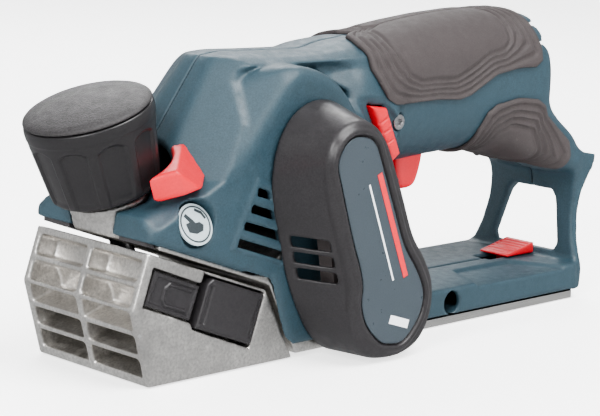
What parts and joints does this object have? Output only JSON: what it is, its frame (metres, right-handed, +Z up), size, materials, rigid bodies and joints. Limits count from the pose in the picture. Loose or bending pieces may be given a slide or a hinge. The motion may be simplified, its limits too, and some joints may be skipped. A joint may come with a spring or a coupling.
{
  "type": "electric hand planer",
  "caption": "Compact cordless electric hand planer: tilted depth shoe under a round knob, belt-driven cutter drum, closed handle with rubber grips, battery socket in the tail.",
  "frame": {"origin": "a point on the underside of the rear sole, on the tool's centre plane", "axes": "+X toward the tail, -X toward the front shoe, -Y the belt side, +Z up"},
  "size_m": [0.2731, 0.0956, 0.1197],
  "materials": {
    "housing_left": "fine textured glass-filled nylon",
    "housing_right": "fine textured glass-filled nylon",
    "grip_upper_left": "soft-touch elastomer",
    "grip_upper_right": "soft-touch elastomer",
    "grip_lower_left": "soft-touch elastomer",
    "grip_lower_right": "soft-touch elastomer",
    "gear_casting": "as cast",
    "rear_sole": "milled",
    "front_shoe": "as cast, milled sole",
    "shoe_guide_left": "moulded",
    "shoe_guide_right": "moulded",
    "tray_insert": "moulded",
    "key_holder": "moulded",
    "motor_end_bell": "moulded",
    "cooling_fan": "moulded",
    "switch_module": "moulded",
    "battery_contacts": "moulded",
    "chip_duct": "moulded",
    "park_foot": "moulded",
    "depth_knob": "fine textured",
    "knob_cap": "fine textured",
    "belt_cover": "fine textured",
    "drive_belt": "ribbed",
    "spindle_nut": "turned",
    "guide_nut": "turned",
    "depth_spindle": "ground",
    "click_ring": "ground",
    "cutter_blade": "ground",
    "blade_clamp": "ground",
    "drum_shaft": "ground",
    "drum_bearing_left": "ground",
    "drum_bearing_right": "ground",
    "motor_shaft": "ground",
    "motor_bearing_left": "ground",
    "motor_bearing_right": "ground",
    "park_pin": "ground",
    "clamp_screw_1": "dark",
    "clamp_screw_2": "dark",
    "clamp_screw_3": "dark",
    "drum_pulley": "dark",
    "motor_pulley": "dark",
    "motor_can": "dark",
    "housing_screw_1": "dark",
    "motor_core": "wound",
    "control_board": "lacquered",
    "badge_plate": "satin",
    "setting_disc": "satin",
    "depth_pointer": "moulded",
    "trigger": "moulded",
    "lock_off_button": "moulded",
    "park_lock": "moulded",
    "cutter_drum": "turned"
  },
  "bodies": {
    "machine": {"housing_left": "housing_left", "housing_right": "housing_right", "grip_upper_left": "grip_upper_left", "grip_upper_right": "grip_upper_right", "grip_lower_left": "grip_lower_left", "grip_lower_right": "grip_lower_right", "gear_casting": "gear_casting", "rear_sole": "rear_sole", "shoe_guide_left": "shoe_guide_left", "shoe_guide_right": "shoe_guide_right", "motor_end_bell": "motor_end_bell", "switch_module": "switch_module", "battery_contacts": "battery_contacts", "chip_duct": "chip_duct", "belt_cover": "belt_cover", "drive_belt": "drive_belt", "guide_nut": "guide_nut", "click_ring": "click_ring", "drum_bearing_left": "drum_bearing_left", "drum_bearing_right": "drum_bearing_right", "motor_bearing_left": "motor_bearing_left", "motor_bearing_right": "motor_bearing_right", "park_pin": "park_pin", "motor_can": "motor_can", "housing_screw_1": "housing_screw_1", "control_board": "control_board", "badge_plate": "badge_plate", "setting_disc": "setting_disc", "depth_pointer": "depth_pointer"},
    "shoe": {"front_shoe": "front_shoe", "tray_insert": "tray_insert", "spindle_nut": "spindle_nut"},
    "key_drawer": {"key_holder": "key_holder"},
    "knob": {"depth_knob": "depth_knob", "knob_cap": "knob_cap", "depth_spindle": "depth_spindle"},
    "cutter": {"cutter_drum": "cutter_drum", "cutter_blade": "cutter_blade", "blade_clamp": "blade_clamp", "clamp_screw_1": "clamp_screw_1", "clamp_screw_2": "clamp_screw_2", "clamp_screw_3": "clamp_screw_3", "drum_shaft": "drum_shaft", "drum_pulley": "drum_pulley"},
    "rotor": {"motor_core": "motor_core", "motor_shaft": "motor_shaft", "cooling_fan": "cooling_fan", "motor_pulley": "motor_pulley"},
    "trigger_body": {"trigger": "trigger"},
    "lock_off_body": {"lock_off_button": "lock_off_button"},
    "park_rest": {"park_foot": "park_foot"},
    "park_slide": {"park_lock": "park_lock"}
  },
  "joints": [
    {"name": "knob_turn", "type": "hinge", "parent": "machine", "child": "knob", "pos_m": [-0.145, 0, 0.063], "axis": [0.3256, 0, -0.9455], "range_deg": [0, 315]},
    {"name": "shoe_depth", "type": "slide", "parent": "machine", "child": "shoe", "axis": [-0.3256, 0, 0.9455], "range_m": [0, 0.002]},
    {"name": "key_slide", "type": "slide", "parent": "shoe", "child": "key_drawer", "axis": [0, -1, 0], "range_m": [0, 0.012]},
    {"name": "cutter_spin", "type": "hinge", "parent": "machine", "child": "cutter", "pos_m": [-0.06, 0, 0.0222], "axis": [0, 1, 0], "continuous": true},
    {"name": "rotor_spin", "type": "hinge", "parent": "machine", "child": "rotor", "pos_m": [-0.0765, 0, 0.07], "axis": [0, 1, 0], "continuous": true},
    {"name": "trigger_pull", "type": "hinge", "parent": "machine", "child": "trigger_body", "pos_m": [-0.014, 0, 0.075], "axis": [0, -1, 0], "range_deg": [0, 8], "stiffness_Nm_per_rad": 0.6, "springref_deg": -8.59},
    {"name": "lock_press", "type": "slide", "parent": "machine", "child": "lock_off_body", "axis": [0, 1, 0], "range_m": [0, 0.003], "stiffness_N_per_m": 500, "springref_m": -0.002},
    {"name": "park_drop", "type": "hinge", "parent": "machine", "child": "park_rest", "pos_m": [0.0722, 0, 0.007], "axis": [0, -1, 0], "range_deg": [0, 28]},
    {"name": "park_lock_slide", "type": "slide", "parent": "machine", "child": "park_slide", "axis": [-1, 0, 0], "range_m": [0, 0.006]}
  ],
  "couplings": [
    {"joint": "knob_turn", "follows": "shoe_depth", "rad_per_m": 2748},
    {"joint": "rotor_spin", "follows": "cutter_spin", "ratio": 2}
  ]
}
